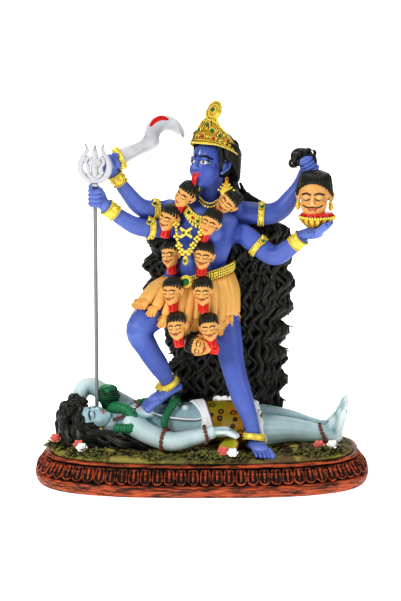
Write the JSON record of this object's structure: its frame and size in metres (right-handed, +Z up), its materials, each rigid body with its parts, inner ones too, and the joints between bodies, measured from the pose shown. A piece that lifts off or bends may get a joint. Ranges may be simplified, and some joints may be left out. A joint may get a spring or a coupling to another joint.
{
  "type": "kali figure",
  "caption": "Four-armed goddess figure stepping over a reclining god on an oval lotus plinth, with trident, curved sword and a severed head over a dish.",
  "frame": {"origin": "centre of the plinth's underside, on the surface the figure stands on", "axes": "+X to the viewer's right along the plinth's length, +Y away from the viewer towards the figure's back, +Z up"},
  "size_m": [0.2, 0.1, 0.228],
  "materials": {
    "painted_resin_rust": "rust orange dry-brushed over near-black, satin lacquer",
    "painted_resin_pale_blue": "hand-painted pale blue resin under satin lacquer",
    "painted_resin_blue": "hand-painted blue resin under satin lacquer",
    "painted_resin_flesh": "hand-painted warm flesh resin under satin lacquer",
    "silver_painted_metal": "silver paint over a cast rod, lightly tarnished",
    "silver_painted_blade": "silver and red paint over a cast blade"
  },
  "bodies": {
    "root": {"plinth": "painted_resin_rust", "shiva": "painted_resin_pale_blue", "kali": "painted_resin_blue", "held_head": "painted_resin_flesh", "trident": "silver_painted_metal", "sword": "silver_painted_blade"}
  },
  "joints": []
}
